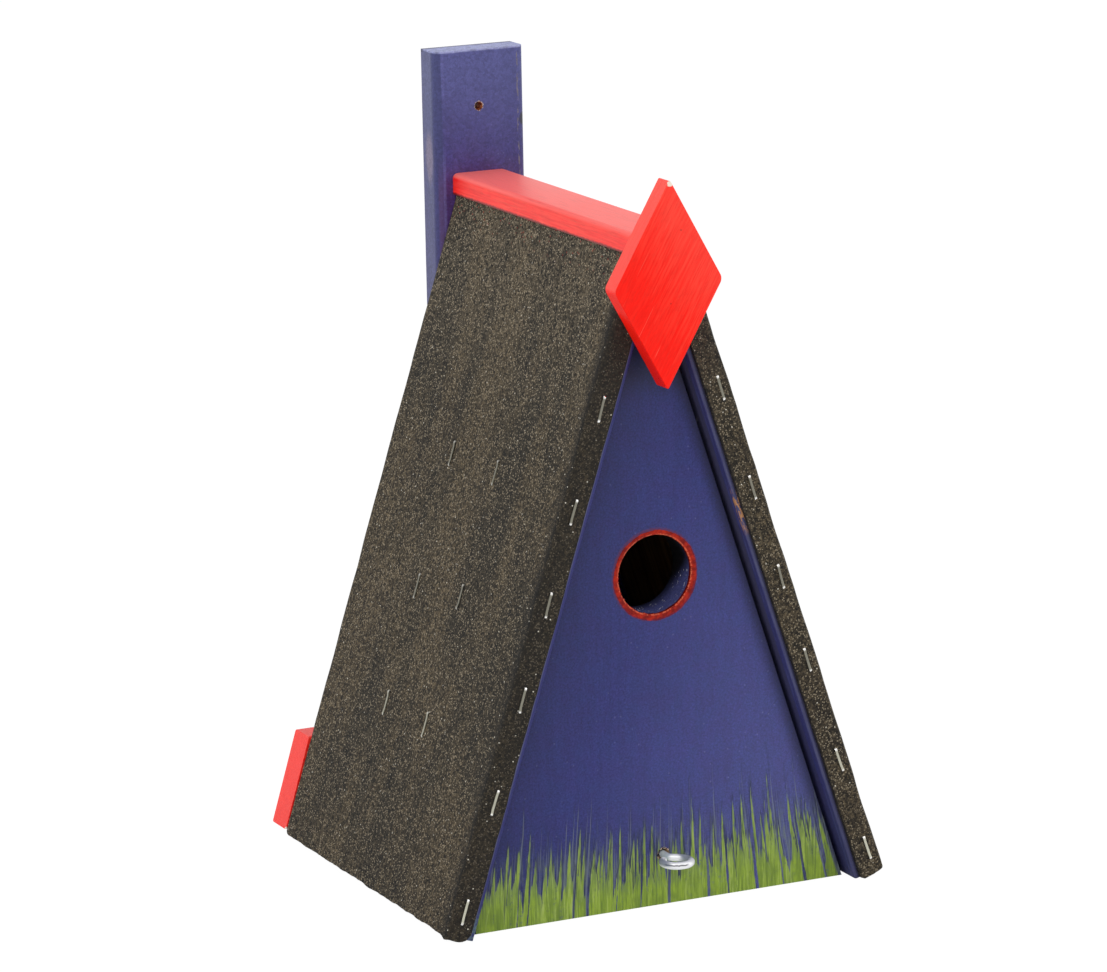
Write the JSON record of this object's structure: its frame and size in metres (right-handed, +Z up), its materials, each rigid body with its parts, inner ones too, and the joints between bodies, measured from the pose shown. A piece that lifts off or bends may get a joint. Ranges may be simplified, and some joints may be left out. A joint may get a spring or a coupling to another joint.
{
  "type": "A-frame nest box",
  "caption": "Wooden A-frame nest box with felted roof boards, a round entrance, a front that swings out for cleaning, a ridge cap, a gable diamond and a hanging batten.",
  "frame": {"origin": "on the ground, under the middle of the whole box", "axes": "+X to the right of someone who faces the entrance, +Y from the front to the wall, +Z up"},
  "size_m": [0.192, 0.1854, 0.3209],
  "materials": {
    "blue_paint": "matte paint over planed softwood",
    "red_paint": "bright satin paint, brushed",
    "bare_wood": "planed softwood, not painted",
    "roofing_felt": "bitumen felt with fine mineral grain",
    "zinc": "bright zinc plating",
    "staple_steel": "dull galvanised wire"
  },
  "bodies": {
    "house": {"left_roof_board": "blue_paint", "right_roof_board": "blue_paint", "left_felt": "roofing_felt", "right_felt": "roofing_felt", "ridge_cap": "red_paint", "gable_diamond": "red_paint", "left_pivot_nail": "zinc", "right_pivot_nail": "zinc", "floor_panel": "bare_wood", "back_panel": "blue_paint", "hanging_batten": "blue_paint", "back_crosspiece": "red_paint", "batten_screws": "zinc", "crosspiece_screws": "zinc", "left_front_staples": "staple_steel", "right_front_staples": "staple_steel", "left_side_staples": "staple_steel", "right_side_staples": "staple_steel", "left_back_staples": "staple_steel", "right_back_staples": "staple_steel"},
    "front": {"front_panel": "blue_paint", "screw_eye": "zinc"}
  },
  "joints": [
    {"name": "front_swing", "type": "hinge", "parent": "house", "child": "front", "pos_m": [0, -0.06605, 0.19052], "axis": [-1, 0, 0], "range_deg": [0, 32]}
  ]
}
